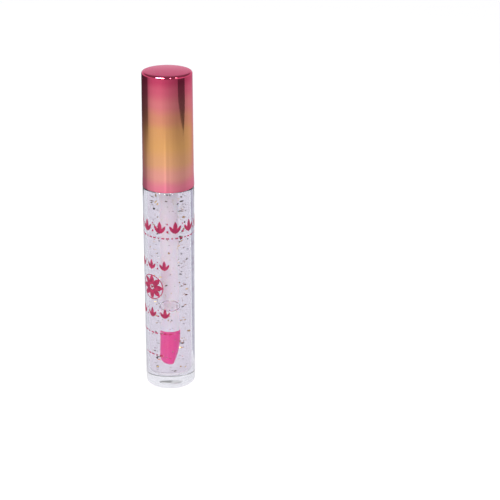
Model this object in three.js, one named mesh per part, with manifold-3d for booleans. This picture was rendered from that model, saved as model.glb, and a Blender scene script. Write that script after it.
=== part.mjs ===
// Lip gloss tube: a thick-walled clear bottle closed by a screw-on lacquered cap that carries the wand.
// Millimetres, +Z up. The origin is the centre of the bottle's base, on the surface it stands on.
// Every piece shares the Z axis, so each one is turned from its half outline.

import * as THREE from 'three';
import { mergeVertices } from 'three/addons/utils/BufferGeometryUtils.js';
import Module from 'manifold-3d';

const wasm = await Module();
wasm.setup();

// ---- Clearances ---------------------------------------------------------------------------------

const fitGap = 0.3; // between two pieces that seat on or in each other
const passGap = 0.2; // round the applicator tip where it is drawn through the wiper
const threadGap = 0.3; // between the crests of the two threads
const closureGap = 0.3; // between the cap's rim and the bottle's shoulder when the tube is closed
const floorGap = 3.5; // between the end of the wand and the bottom of the cavity
const glossHeadspace = 0.9; // air between the gloss and the wiper's lip

// ---- Bottle -------------------------------------------------------------------------------------

const bottleLength = 74; // base to shoulder
const bottleTaper = 0.15; // how much the radius loses from shoulder to base
const cavityDiameter = 9.4;
const cavityCornerRadius = 1.6;
const cavityConeLength = 1.6; // where the cavity closes in to the neck bore
const cavityRoof = 1.2; // how far below the shoulder that cone ends
const baseThickness = 3.7;
const baseEdgeRadius = 0.7;
const shoulderEdgeRadius = 0.8;
const dimpleDiameter = 5;
const dimpleDepth = 0.4;
const dimpleSlope = 0.5;

const neckLength = 14.4;
const neckWall = 1.05;
const neckFillet = 1.4; // where the neck meets the shoulder
const neckChamfer = 0.25;

// ---- Threads ------------------------------------------------------------------------------------

const threadPitch = 2.5;
const neckThreadTurns = 1.75;
const neckThreadHeight = 0.6;
const neckThreadInset = 3.2; // top of the neck to the start of its thread
const capThreadTurns = 1.5;
const capThreadHeight = 0.5;
const ridgeRadius = 0.65; // both threads are round ridges
const runOutTurns = 0.12; // how quickly a ridge sinks into its wall at each end

// ---- Wiper --------------------------------------------------------------------------------------

const wiperLength = 11; // from the top of its flange to its lip
const wiperFlangeThickness = 1;
const wiperFlangeInset = 0.1; // how far its flange stays inside the outside of the neck
const wiperWall = 0.7;
const wiperLipWall = 0.6;
const wiperFunnelStep = 0.6; // how much the bore closes in at the lip
const wiperFunnelLength = 3.2;

// ---- Wand ---------------------------------------------------------------------------------------

const tipDiameter = 4.7;
const tipLength = 13;
const tipNoseLength = 3;
const tipCollarStep = 0.15; // how much the tip stands proud of the stem where they meet
const tipCollarLength = 2; // straight part between the bulb and the stem
const tipFlatLength = 8.5; // height of the slanted face
const tipFlatStart = 0.7; // how far off the axis the slanted face starts, at the tip's end
const pegLength = 4;
const stemDiameter = 4.2;
const stemWall = 0.5; // round the socket that holds the tip's peg
const stemRootDiameter = 4.6; // just below the cap
const stemFlareLength = 22;
const stemHeadStep = 0.45; // how much the head's radius is over the root's
const stemHeadLength = 8;
const barbCount = 3;
const barbHeight = 0.15;

// ---- Cap ----------------------------------------------------------------------------------------

const washerThickness = 1;
const innerCapRecess = 4.5; // rim of the cap up to the rim of the inner cap
const innerCapWall = 1;
const ceilingThickness = 2;
const socketWall = 1;
const socketRoof = 1.2;
const ribCount = 16;
const ribWidth = 0.9;
const ribHeight = 0.4;
const ribLeadIn = 1.5; // length of the ramp at the bottom of each rib
const capLength = 39.9;
const capWall = 0.5;
const capTaper = 0.25; // how much the radius loses from rim to top
const capTopEdgeRadius = 0.8;
const capFlareStep = 0.13; // how much the rim stands proud of the side
const capFlareLength = 3;

// ---- Places worked out from the sizes above --------------------------------------------------------

const orificeRadius = tipDiameter / 2 + passGap;
const wiperBoreRadius = orificeRadius + wiperFunnelStep;
const wiperRadius = wiperBoreRadius + wiperWall;
const neckBoreRadius = wiperRadius + fitGap;
const neckRadius = neckBoreRadius + neckWall;
const neckCrestRadius = neckRadius + neckThreadHeight;
const capCrestRadius = neckCrestRadius + threadGap;
const capRootRadius = capCrestRadius + capThreadHeight;
const sleeveRadius = capRootRadius + innerCapWall;
const capRadius = sleeveRadius + ribHeight + fitGap + capWall; // outside of the cap at its rim
const shoulderRadius = capRadius + capFlareStep / 2;
const baseRadius = shoulderRadius - bottleTaper;
const cavityRadius = cavityDiameter / 2;

const neckTop = bottleLength + neckLength;
const wiperSeat = neckTop + fitGap;
const wiperTop = wiperSeat + wiperFlangeThickness;
const wiperLip = wiperTop - wiperLength;
const washerSeat = wiperTop + fitGap;
const ceiling = washerSeat + washerThickness + fitGap;
const capRim = bottleLength + closureGap;
const innerCapRim = capRim + innerCapRecess;
const innerCapLength = capLength - capWall - fitGap - innerCapRecess;
const tipEnd = baseThickness + floorGap;
const stemEnd = tipEnd + tipLength + fitGap;
const glossFloor = baseThickness + fitGap;
const glossLength = wiperLip - glossHeadspace - glossFloor;
const neckThreadBottom = neckTop - neckThreadInset - threadPitch * neckThreadTurns;
const capThreadBottom = neckThreadBottom - threadPitch / 2; // each ridge lies between the other's turns
const coneTop = bottleLength - cavityRoof;
const coneBottom = coneTop - cavityConeLength;
const stemHeadRadius = stemRootDiameter / 2 + stemHeadStep;
const socketRadius = stemHeadRadius + barbHeight + fitGap;
const pegRadius = stemDiameter / 2 - stemWall - fitGap;

// ---- Geometry helpers ---------------------------------------------------------------------------

const largeSegments = 56;
const smallSegments = 36;
const threadStepsPerTurn = 30;

function point(radius, height) {
  return new THREE.Vector2(radius, height);
}

// Points on an arc of the half outline, from one angle to another in degrees.
function arc(centreRadius, centreHeight, radius, from, to, steps = 4, radiusUp = radius) {
  const points = [];
  for (let i = 0; i <= steps; i += 1) {
    const angle = THREE.MathUtils.degToRad(THREE.MathUtils.lerp(from, to, i / steps));
    const across = radius * Math.cos(angle);
    const up = radiusUp * Math.sin(angle);
    points.push(point(centreRadius + across, centreHeight + up));
  }
  return points;
}

// Keeps only positions, with each vertex stored once and no triangle that has closed up on the axis.
function weld(geometry) {
  const bare = geometry.clone();
  bare.deleteAttribute('normal');
  bare.deleteAttribute('uv');
  const merged = mergeVertices(bare, 1e-4);
  const index = [];
  for (let i = 0; i < merged.index.count; i += 3) {
    const [a, b, c] = merged.index.array.subarray(i, i + 3);
    if (a !== b && b !== c && c !== a) {
      index.push(a, b, c);
    }
  }
  merged.setIndex(index);
  return merged;
}

// Turns a half outline about Z. The outline runs anticlockwise with the axis on its left.
function turned(points, segments = smallSegments) {
  const geometry = new THREE.LatheGeometry(points, segments);
  geometry.rotateX(Math.PI / 2);
  return weld(geometry);
}

function closedRing(points, segments = smallSegments) {
  return turned([...points, points[0].clone()], segments);
}

function toSolid(geometry) {
  const welded = weld(geometry);
  const mesh = new wasm.Mesh({
    numProp: 3,
    vertProperties: new Float32Array(welded.attributes.position.array),
    triVerts: new Uint32Array(welded.index.array),
  });
  return new wasm.Manifold(mesh);
}

function toGeometry(solid) {
  const mesh = solid.getMesh();
  const geometry = new THREE.BufferGeometry();
  geometry.setAttribute('position', new THREE.BufferAttribute(mesh.vertProperties, 3));
  geometry.setIndex(new THREE.BufferAttribute(mesh.triVerts, 1));
  return geometry;
}

// The centre line of a thread ridge, which sinks sideways into its wall at both ends.
class ThreadLine extends THREE.Curve {
  constructor(radius, turns, sink) {
    super();
    this.radius = radius;
    this.turns = turns;
    this.sink = sink;
  }

  getPoint(t, target = new THREE.Vector3()) {
    const turnsToEnd = Math.min(t, 1 - t) * this.turns;
    const sunk = 1 - THREE.MathUtils.smoothstep(turnsToEnd, 0, runOutTurns);
    const radius = this.radius + this.sink * sunk;
    const angle = 2 * Math.PI * this.turns * t;
    return target.set(radius * Math.cos(angle), radius * Math.sin(angle), threadPitch * this.turns * t);
  }
}

function threadRidge(crestRadius, inward, turns, height, bottom) {
  const side = inward ? 1 : -1;
  const line = new ThreadLine(crestRadius + side * ridgeRadius, turns, side * height);
  const section = new THREE.Shape().absarc(0, 0, ridgeRadius, 0, 2 * Math.PI);
  const geometry = new THREE.ExtrudeGeometry(section, {
    extrudePath: line,
    steps: Math.round(turns * threadStepsPerTurn),
    curveSegments: 5,
  });
  geometry.translate(0, 0, bottom);
  return toSolid(geometry);
}

// ---- Bottle -------------------------------------------------------------------------------------

function bottleGeometry() {
  const outside = [
    point(0, dimpleDepth),
    point(dimpleDiameter / 2 - dimpleSlope, dimpleDepth),
    point(dimpleDiameter / 2, 0),
    ...arc(baseRadius - baseEdgeRadius, baseEdgeRadius, baseEdgeRadius, -90, 0),
    ...arc(shoulderRadius - shoulderEdgeRadius, bottleLength - shoulderEdgeRadius, shoulderEdgeRadius, 0, 90),
    ...arc(neckRadius + neckFillet, bottleLength + neckFillet, neckFillet, 270, 180),
    point(neckRadius, neckTop - neckChamfer),
    point(neckRadius - neckChamfer, neckTop),
    point(0, neckTop),
  ];
  const aboveNeck = neckTop + neckWall;
  const inside = [
    point(0, baseThickness),
    ...arc(cavityRadius - cavityCornerRadius, baseThickness + cavityCornerRadius, cavityCornerRadius, -90, 0),
    point(cavityRadius, coneBottom),
    point(neckBoreRadius, coneTop),
    point(neckBoreRadius, aboveNeck),
    point(0, aboveNeck),
  ];
  const thread = threadRidge(neckCrestRadius, false, neckThreadTurns, neckThreadHeight, neckThreadBottom);
  const blank = toSolid(turned(outside, largeSegments)).add(thread);
  return toGeometry(blank.subtract(toSolid(turned(inside, largeSegments))));
}

// ---- Gloss --------------------------------------------------------------------------------------

// The gloss stands clear of the bottle's walls and of the space that the wand takes up.
function glossGeometry() {
  const radius = cavityRadius - fitGap;
  const corner = cavityCornerRadius - fitGap;
  const wellFloor = tipEnd - fitGap - glossFloor;
  const wellRadius = tipDiameter / 2 + fitGap;
  return turned([
    point(0, 0),
    ...arc(radius - corner, corner, corner, -90, 0),
    point(radius, coneBottom - glossFloor),
    point(neckBoreRadius - fitGap, coneTop - glossFloor),
    point(neckBoreRadius - fitGap, glossLength),
    point(wellRadius, glossLength),
    point(wellRadius, wellFloor),
    point(0, wellFloor),
  ]);
}

// ---- Wiper --------------------------------------------------------------------------------------

// A flange that lies on the neck, a plug that fills the bore, and a funnel down to the lip.
function wiperGeometry() {
  const lip = wiperFlangeThickness - wiperLength;
  const funnelTop = lip + wiperFunnelLength;
  const flangeRadius = neckRadius - wiperFlangeInset;
  const softening = wiperFlangeThickness / 4;
  return closedRing([
    point(orificeRadius, lip),
    point(orificeRadius + wiperLipWall, lip),
    point(wiperRadius, funnelTop),
    point(wiperRadius, 0),
    point(flangeRadius, 0),
    point(flangeRadius, wiperFlangeThickness - softening),
    point(flangeRadius - softening, wiperFlangeThickness),
    point(wiperBoreRadius + softening, wiperFlangeThickness),
    point(wiperBoreRadius, wiperFlangeThickness - softening),
    point(wiperBoreRadius, funnelTop),
  ]);
}

// ---- Sealing washer -----------------------------------------------------------------------------

function washerGeometry() {
  const inside = stemRootDiameter / 2 + fitGap;
  const outside = neckRadius - wiperFlangeInset;
  return closedRing([
    point(inside, 0),
    point(outside, 0),
    point(outside, washerThickness),
    point(inside, washerThickness),
  ]);
}

// ---- Cap ----------------------------------------------------------------------------------------

// Radius of the cap's inside wall at a height above its rim.
function capBoreRadius(height) {
  return capRadius - capWall - capTaper * (height / capLength);
}

// A drawn shell, closed at the top, with a rounded lip at its slightly flared rim.
function overcapGeometry() {
  const lip = capWall / 2;
  const rimRadius = capRadius + capFlareStep;
  const topRadius = capRadius - capTaper;
  const insideEdge = capTopEdgeRadius - capWall / 2;
  return turned([
    ...arc(rimRadius - lip, lip, lip, -180, 0, 6),
    point(capRadius - capTaper * (capFlareLength / capLength), capFlareLength),
    ...arc(topRadius - capTopEdgeRadius, capLength - capTopEdgeRadius, capTopEdgeRadius, 0, 90),
    point(0, capLength),
    point(0, capLength - capWall),
    ...arc(topRadius - capWall - insideEdge, capLength - capWall - insideEdge, insideEdge, 90, 0),
    point(capBoreRadius(capFlareLength), capFlareLength),
    point(rimRadius - capWall, lip),
  ], largeSegments);
}

// One upright fin that centres the inner cap in the shell. Its edge follows the shell's taper.
function ribSolid() {
  const root = sleeveRadius - innerCapWall / 2;
  const edge = (height) => capBoreRadius(innerCapRecess + height) - fitGap;
  const outline = new THREE.Shape([
    point(root, fitGap),
    point(sleeveRadius, fitGap),
    point(edge(ribLeadIn), ribLeadIn),
    point(edge(innerCapLength), innerCapLength - ribLeadIn),
    point(root, innerCapLength - ribLeadIn),
  ]);
  const geometry = new THREE.ExtrudeGeometry(outline, { depth: ribWidth, bevelEnabled: false });
  geometry.translate(0, 0, -ribWidth / 2);
  geometry.rotateX(Math.PI / 2);
  return toSolid(geometry);
}

// A sleeve with a ceiling part way up: threads below it, and above it a socket for the stem's head.
function innerCapGeometry() {
  const ceilingHeight = ceiling - innerCapRim;
  const deckHeight = ceilingHeight + ceilingThickness;
  const socketTop = ceilingHeight + stemHeadLength + fitGap;
  const bossRadius = socketRadius + socketWall;
  const softening = innerCapWall / 4;
  const body = turned([
    point(0, socketTop),
    point(socketRadius, socketTop),
    point(socketRadius, ceilingHeight),
    point(capRootRadius, ceilingHeight),
    point(capRootRadius, softening),
    point(capRootRadius + softening, 0),
    point(sleeveRadius - softening, 0),
    point(sleeveRadius, softening),
    point(sleeveRadius, innerCapLength - ribLeadIn),
    point(sleeveRadius - capTaper, innerCapLength),
    point(capRootRadius, innerCapLength),
    point(capRootRadius, deckHeight),
    point(bossRadius, deckHeight),
    point(bossRadius, socketTop + socketRoof),
    point(0, socketTop + socketRoof),
  ], largeSegments);
  const sleeveCore = toSolid(turned([
    point(0, 0),
    point(sleeveRadius, 0),
    point(sleeveRadius, deckHeight),
    point(0, deckHeight),
  ], largeSegments));
  const threadBottom = capThreadBottom - innerCapRim;
  const thread = threadRidge(capCrestRadius, true, capThreadTurns, capThreadHeight, threadBottom);
  let solid = toSolid(body).add(thread.intersect(sleeveCore));
  for (let i = 0; i < ribCount; i += 1) {
    solid = solid.add(ribSolid().rotate([0, 0, (360 * i) / ribCount]));
  }
  return toGeometry(solid);
}

// ---- Wand ---------------------------------------------------------------------------------------

// A rod with a barbed head that is pressed into the inner cap and a socket for the tip's peg.
function stemGeometry() {
  const radius = stemDiameter / 2;
  const rootRadius = stemRootDiameter / 2;
  const socketBore = pegRadius + fitGap;
  const headBottom = ceiling - stemEnd + fitGap;
  const headTop = headBottom + stemHeadLength - fitGap;
  const barbPitch = (headTop - headBottom) / (barbCount + 1);
  const barbs = [];
  for (let i = 1; i <= barbCount; i += 1) {
    const height = headBottom + barbPitch * i;
    barbs.push(point(stemHeadRadius + barbHeight, height));
    barbs.push(point(stemHeadRadius, height + barbPitch / 3));
  }
  return turned([
    point(0, pegLength + fitGap),
    point(socketBore, pegLength + fitGap),
    point(socketBore, 0),
    point(radius, 0),
    point(radius, headBottom - stemFlareLength),
    point(rootRadius, headBottom - stemHeadStep),
    point(stemHeadRadius, headBottom),
    ...barbs,
    point(stemHeadRadius, headTop - stemHeadStep),
    point(rootRadius, headTop),
    point(0, headTop),
  ]);
}

// A doe-foot: a padded bulb with one slanted face, below a collar and a peg.
function tipGeometry() {
  const radius = tipDiameter / 2;
  const collarRadius = stemDiameter / 2 + tipCollarStep;
  const bulb = toSolid(turned([
    ...arc(0, tipNoseLength, radius, -90, 0, 6, tipNoseLength),
    point(radius, tipLength / 2),
    point(collarRadius, tipLength - tipCollarLength),
    point(collarRadius, tipLength - tipCollarStep),
    point(collarRadius - tipCollarStep, tipLength),
    point(pegRadius, tipLength),
    point(pegRadius, tipLength + pegLength),
    point(0, tipLength + pegLength),
  ]));
  const lean = Math.atan2(radius - tipFlatStart, tipFlatLength);
  const cutter = new THREE.BoxGeometry(tipLength, tipLength, 2 * tipLength);
  cutter.translate(tipLength / 2, 0, 0);
  cutter.rotateY(lean);
  cutter.translate(tipFlatStart, 0, 0);
  return toGeometry(bulb.subtract(toSolid(cutter)));
}

// ---- Scene --------------------------------------------------------------------------------------

function piece(name, geometry, height, color, roughness, metalness, opacity = 1) {
  const material = new THREE.MeshStandardMaterial({
    color,
    roughness,
    metalness,
    opacity,
    transparent: opacity < 1,
  });
  const mesh = new THREE.Mesh(geometry, material);
  mesh.name = name;
  mesh.position.z = height;
  return mesh;
}

const bottleGroup = new THREE.Group();
bottleGroup.add(
  piece('bottle', bottleGeometry(), 0, 0xdcd8e8, 0.05, 0, 0.3),
  piece('gloss_fill', glossGeometry(), glossFloor, 0xf0dfe2, 0.1, 0, 0.5),
  piece('wiper', wiperGeometry(), wiperSeat, 0xe83fa0, 0.35, 0, 0.8),
);

const capGroup = new THREE.Group();
capGroup.position.z = capRim;
capGroup.add(
  piece('overcap', overcapGeometry(), 0, 0xcf5b83, 0.25, 0.9),
  piece('inner_cap', innerCapGeometry(), innerCapRecess, 0xf1eef0, 0.45, 0),
  piece('sealing_washer', washerGeometry(), washerSeat - capRim, 0xf7f5f2, 0.7, 0),
  piece('wand_stem', stemGeometry(), stemEnd - capRim, 0xf6e4e6, 0.35, 0),
  piece('applicator_tip', tipGeometry(), tipEnd - capRim, 0xf84b8c, 0.6, 0),
);

const tube = new THREE.Group();
tube.add(bottleGroup, capGroup);

export default tube;
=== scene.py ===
# %% [markdown]
# # Lip gloss tube
# A slim clear bottle of gloss with gold flakes, closed by a lacquered metal cap that carries a doe-foot wand.
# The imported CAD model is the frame: it says where every piece sits, how big it is and what it moves with.
# This lesson builds the fine surfaces round it. Blender works in metres, and the sizes below are written
# in millimetres because that is how a packaging drawing gives them, so MM turns one into the other.

# %% Load the frame
import math
import random

import bmesh
import bpy
from mathutils import Matrix, Vector


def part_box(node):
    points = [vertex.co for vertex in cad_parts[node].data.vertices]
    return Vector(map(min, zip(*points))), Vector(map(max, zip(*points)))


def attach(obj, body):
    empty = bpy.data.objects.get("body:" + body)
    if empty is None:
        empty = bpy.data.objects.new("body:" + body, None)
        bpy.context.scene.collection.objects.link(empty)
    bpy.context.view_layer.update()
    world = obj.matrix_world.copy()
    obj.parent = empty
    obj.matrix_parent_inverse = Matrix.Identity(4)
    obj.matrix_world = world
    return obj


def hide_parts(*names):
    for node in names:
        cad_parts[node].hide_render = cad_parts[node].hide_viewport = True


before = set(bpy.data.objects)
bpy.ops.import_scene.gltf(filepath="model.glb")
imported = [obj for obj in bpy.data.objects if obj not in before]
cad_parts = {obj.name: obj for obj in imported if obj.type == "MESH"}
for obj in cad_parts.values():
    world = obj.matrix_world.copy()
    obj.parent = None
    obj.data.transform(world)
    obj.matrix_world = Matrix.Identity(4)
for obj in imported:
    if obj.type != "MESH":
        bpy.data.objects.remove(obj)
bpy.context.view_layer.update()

MM = 0.001

# %% [markdown]
# ## Places taken from the frame
# Every height comes from a CAD node's box, so that a change in the CAD model carries through.
# Only what a box can't say, such as a wall or a fillet, is written as a number.

# %% Places
def low(node):
    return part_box(node)[0].z / MM


def high(node):
    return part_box(node)[1].z / MM


def radius_of(node):
    lowest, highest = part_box(node)
    return (highest.x - lowest.x) / 2 / MM


CLOSURE_GAP = 0.3
FIT_GAP = 0.3
RIM = low("overcap")
CAP_TOP = high("overcap")
SHOULDER = RIM - CLOSURE_GAP
NECK_TOP = high("bottle")

SIDE_TAPER = 0.15
FLANGE_INSET = 0.1
NECK_WALL = 1.05
SHOULDER_RADIUS = radius_of("bottle")
BASE_RADIUS = SHOULDER_RADIUS - SIDE_TAPER
NECK_RADIUS = radius_of("wiper") + FLANGE_INSET
NECK_BORE = NECK_RADIUS - NECK_WALL

SHOULDER_WALL = 1.2
CONE_LENGTH = 1.6
CAVITY_FLOOR = low("gloss_fill") - FIT_GAP
CAVITY_RADIUS = radius_of("gloss_fill") + FIT_GAP
GLOSS_TOP = high("gloss_fill")
CONE_TOP = SHOULDER - SHOULDER_WALL
CONE_BOTTOM = CONE_TOP - CONE_LENGTH

THREAD_PITCH = 2.5
THREAD_TURNS = 1.75
THREAD_HEIGHT = 0.6
THREAD_INSET = 3.2
THREAD_BOTTOM = NECK_TOP - THREAD_INSET - THREAD_PITCH * THREAD_TURNS
STEM_RADIUS = 2.1
STEM_ROOT = 2.3
TIP_RADIUS = 2.35
print(f"shoulder {SHOULDER:.2f}, neck top {NECK_TOP:.2f}, cap {RIM:.2f} to {CAP_TOP:.2f} mm")

# %% [markdown]
# ## Camera
# A long lens about half a metre away looks down on the tube at 22 degrees, so its sides stay nearly parallel
# and the cap's top shows as a thin ellipse. The camera is made first, because every later choice of finish
# is judged through it. The tube stands left of the middle, so the camera is off to its right.

# %% Camera
CAMERA_LENS = 102.3
CAMERA_PLACE = Vector((28.2, -460.4, RIM + 161.2)) * MM
CAMERA_DOWN = math.radians(21.92)
CAMERA_ROLL = math.radians(0.55)

camera_data = bpy.data.cameras.new("camera")
camera_data.lens = CAMERA_LENS
camera_data.sensor_width = 36
camera_data.clip_start = 0.01
camera = bpy.data.objects.new("camera", camera_data)
aim = Matrix.Rotation(math.pi / 2 - CAMERA_DOWN, 4, "X")
roll = Matrix.Rotation(CAMERA_ROLL, 4, "Z")
camera.matrix_world = Matrix.Translation(CAMERA_PLACE) @ aim @ roll
bpy.context.scene.collection.objects.link(camera)
bpy.context.scene.camera = camera
print("camera at", tuple(round(v, 3) for v in camera.location))

# %% [markdown]
# ## Turning a half outline
# Nearly every piece of this object is round, so one helper turns a half outline about the axis.
# The Screw modifier could do it, but building the rings by hand lets each stretch of the outline have its own
# finish, and lets a thread swell out of the wall as part of the same closed skin.

# %% Outline helpers
SEGMENTS = 160


def arc(centre_radius, centre_height, radius, start, end, steps=8, radius_up=None):
    """Points (radius, height) on a round stretch of a half outline, from one angle to another in degrees."""
    up = radius if radius_up is None else radius_up
    points = []
    for i in range(steps + 1):
        angle = math.radians(start + (end - start) * i / steps)
        points.append((centre_radius + radius * math.cos(angle), centre_height + up * math.sin(angle)))
    return points


def straight(start, end, step):
    """Points from start to end, not counting start, with no gap longer than step."""
    count = max(1, math.ceil(math.dist(start, end) / step))
    return [tuple(a + (b - a) * i / count for a, b in zip(start, end)) for i in range(1, count + 1)]


def smooth_step(value):
    value = min(1.0, max(0.0, value))
    return value * value * (3 - 2 * value)


def turned_piece(name, stretches, closed=False, segments=SEGMENTS, swell=None, sharp=35):
    """A piece turned from stretches of outline, each a list of (radius, height) in mm and its finish number.
    swell(radius, height, angle) adds to the radius, which is how threads and ribs are raised."""
    outline = [(point, finish) for points, finish in stretches for point in points]
    mesh = bmesh.new()
    rings = []
    for (radius, height), _ in outline:
        if radius < 1e-6:
            rings.append([mesh.verts.new((0, 0, height * MM))])
            continue
        ring = []
        for i in range(segments):
            angle = 2 * math.pi * i / segments
            full = radius + (swell(radius, height, angle) if swell else 0)
            place = (full * math.cos(angle), full * math.sin(angle), height)
            ring.append(mesh.verts.new([value * MM for value in place]))
        rings.append(ring)
    pairs = list(zip(rings, rings[1:], [finish for _, finish in outline[1:]]))
    if closed:
        pairs.append((rings[-1], rings[0], outline[0][1]))
    for lower, upper, finish in pairs:
        for i in range(segments):
            j = (i + 1) % segments
            below = [lower[i % len(lower)], lower[j % len(lower)]]
            above = [upper[j % len(upper)], upper[i % len(upper)]]
            corners = list(dict.fromkeys(below + above))
            if len(corners) > 2:
                face = mesh.faces.new(corners)
                face.material_index = finish
    return finished_object(name, mesh, sharp)


def finished_object(name, mesh, sharp=35):
    """Closes the bmesh into an object with smooth faces, and creases only where two faces turn sharply."""
    for face in mesh.faces:
        face.smooth = True
    data = bpy.data.meshes.new(name)
    mesh.to_mesh(data)
    mesh.free()
    data.set_sharp_from_angle(angle=math.radians(sharp))
    piece = bpy.data.objects.new(name, data)
    bpy.context.scene.collection.objects.link(piece)
    print(f"{name}: {len(data.vertices)} points, {len(data.polygons)} faces")
    return piece


def fit_piece(piece, body, materials, replaces=None):
    """Gives the piece its finishes, ties it to its body, and hides the CAD node it replaces, if one is given.
    """
    for material in materials:
        piece.data.materials.append(material)
    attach(piece, body)
    if replaces:
        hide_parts(replaces)
    return piece


# %% [markdown]
# ## Node helpers
# A material is a small graph. These helpers add a node and join sockets, so that each finish below reads
# as a recipe. Values that are the same all over a surface are set on the shader's own sockets.

# %% Node helpers
def add_node(tree, kind, **settings):
    node = tree.nodes.new(kind)
    for name, value in settings.items():
        setattr(node, name, value)
    return node


def join(tree, *wires):
    """Joins nodes. Each wire is a node, the name of its output, another node and the name of its input."""
    for source, output, target, entry in wires:
        tree.links.new(source.outputs[output], target.inputs[entry])


def new_group(name, inputs, outputs):
    """A node group with its input and output nodes. Its sockets are (name, kind) pairs."""
    group = bpy.data.node_groups.new(name, "ShaderNodeTree")
    for side, sockets in (("INPUT", inputs), ("OUTPUT", outputs)):
        for socket, kind in sockets:
            group.interface.new_socket(socket, in_out=side, socket_type=f"NodeSocket{kind}")
    return group, add_node(group, "NodeGroupInput"), add_node(group, "NodeGroupOutput")


def new_material(name, **values):
    """A material with one Principled BSDF. values are its plain sockets, by name with _ for a space."""
    material = bpy.data.materials.new(name)
    material.use_nodes = True
    shader = material.node_tree.nodes["Principled BSDF"]
    for socket, value in values.items():
        shader.inputs[socket.replace("_", " ")].default_value = value
    print("finish:", name)
    return material, material.node_tree, shader


def object_place(tree, scale=(1, 1, 1)):
    """Object coordinates times scale, so a pattern stays on its piece when the piece moves."""
    place = add_node(tree, "ShaderNodeTexCoord")
    mapping = add_node(tree, "ShaderNodeMapping")
    mapping.inputs["Scale"].default_value = scale
    tree.links.new(place.outputs["Object"], mapping.inputs["Vector"])
    return mapping.outputs["Vector"]


def colour_ramp(tree, factor, stops, interpolation="EASE"):
    """A ramp from a list of (position, (r, g, b)) stops."""
    ramp = add_node(tree, "ShaderNodeValToRGB")
    ramp.color_ramp.interpolation = interpolation
    elements = ramp.color_ramp.elements
    elements.remove(elements[1])
    elements[0].position = stops[0][0]
    elements[0].color = (*stops[0][1], 1)
    for position, colour in stops[1:]:
        elements.new(position).color = (*colour, 1)
    tree.links.new(factor, ramp.inputs["Fac"])
    return ramp.outputs["Color"]


def remapped(tree, value, from_range, to_range=(0, 1), easing="LINEAR"):
    """The value carried from one range to another."""
    spread = add_node(tree, "ShaderNodeMapRange", interpolation_type=easing)
    spread.inputs["From Min"].default_value, spread.inputs["From Max"].default_value = from_range
    spread.inputs["To Min"].default_value, spread.inputs["To Max"].default_value = to_range
    tree.links.new(value, spread.inputs["Value"])
    return spread.outputs["Result"]


def add_bump(tree, shader, height, depth):
    """Tilts the shader's normal by a height that runs from 0 to 1 over that depth in mm."""
    bump = add_node(tree, "ShaderNodeBump")
    bump.inputs["Distance"].default_value = depth * MM
    tree.links.new(height, bump.inputs["Height"])
    join(tree, (bump, "Normal", shader, "Normal"))


def paint(red, green, blue):
    """A colour as it is seen on a screen, 0 to 255, turned into the linear value that a shader wants."""
    def linear(value):
        share = value / 255
        return share / 12.92 if share <= 0.04045 else ((share + 0.055) / 1.055) ** 2.4
    return (linear(red), linear(green), linear(blue))


# %% [markdown]
# ## Shared effect: handling marks
# Drawn metal and polished plastic are never quite even: the roughness drifts, and faint lines run along
# the direction they were drawn or wiped. The group gives a drifting value and a height for fine lines.
# The metals, the clear finishes and the ink all use it, each with its own values.

# %% Handling marks group
DRIFT_RANGE = (0.3, 0.7)


def make_handling_marks():
    inputs = (("Vector", "Vector"), ("Drift Scale", "Float"), ("Line Scale", "Float"))
    outputs = (("Drift", "Float"), ("Lines", "Float"))
    group, enter, leave = new_group("handling_marks", inputs, outputs)
    drift = add_node(group, "ShaderNodeTexNoise")
    drift.inputs["Detail"].default_value = 3
    stretch = add_node(group, "ShaderNodeMapping")
    stretch.inputs["Scale"].default_value = (1, 1, 0.03)
    lines = add_node(group, "ShaderNodeTexNoise")
    lines.inputs["Detail"].default_value = 2
    join(group,
         (enter, "Vector", drift, "Vector"),
         (enter, "Drift Scale", drift, "Scale"),
         (drift, "Fac", leave, "Drift"),
         (enter, "Vector", stretch, "Vector"),
         (stretch, "Vector", lines, "Vector"),
         (enter, "Line Scale", lines, "Scale"),
         (lines, "Fac", leave, "Lines"))
    return group


HANDLING_MARKS = make_handling_marks()
print(f"{HANDLING_MARKS.name}: {len(HANDLING_MARKS.nodes)} nodes")


def add_handling_marks(tree, shader, rough, line_height, drift_scale=120, line_scale=1500):
    """Wires the group: roughness drifts between the two values of rough, and fine lines raise a bump."""
    marks = add_node(tree, "ShaderNodeGroup", node_tree=HANDLING_MARKS)
    marks.inputs["Drift Scale"].default_value = drift_scale
    marks.inputs["Line Scale"].default_value = line_scale
    tree.links.new(object_place(tree), marks.inputs["Vector"])
    roughness = remapped(tree, marks.outputs["Drift"], DRIFT_RANGE, rough)
    tree.links.new(roughness, shader.inputs["Roughness"])
    if line_height > 0:
        add_bump(tree, shader, marks.outputs["Lines"], line_height)
    return marks


def drift_colour(tree, shader, marks, tones):
    """Lets the colour drift between two tones, in step with the roughness."""
    colour = colour_ramp(tree, marks.outputs["Drift"], list(zip(DRIFT_RANGE, tones)))
    tree.links.new(colour, shader.inputs["Base Color"])


# %% [markdown]
# ## Finish: cap lacquer
# The aluminium shell is polished, then sprayed with tinted clear lacquer that fades from rose at the top
# through gold to rose again at the rim. The tint colours the metal's own reflection, so it is the Base
# Color of a metallic shader. A ramp along the height would look printed, so a little noise bends it.

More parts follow.
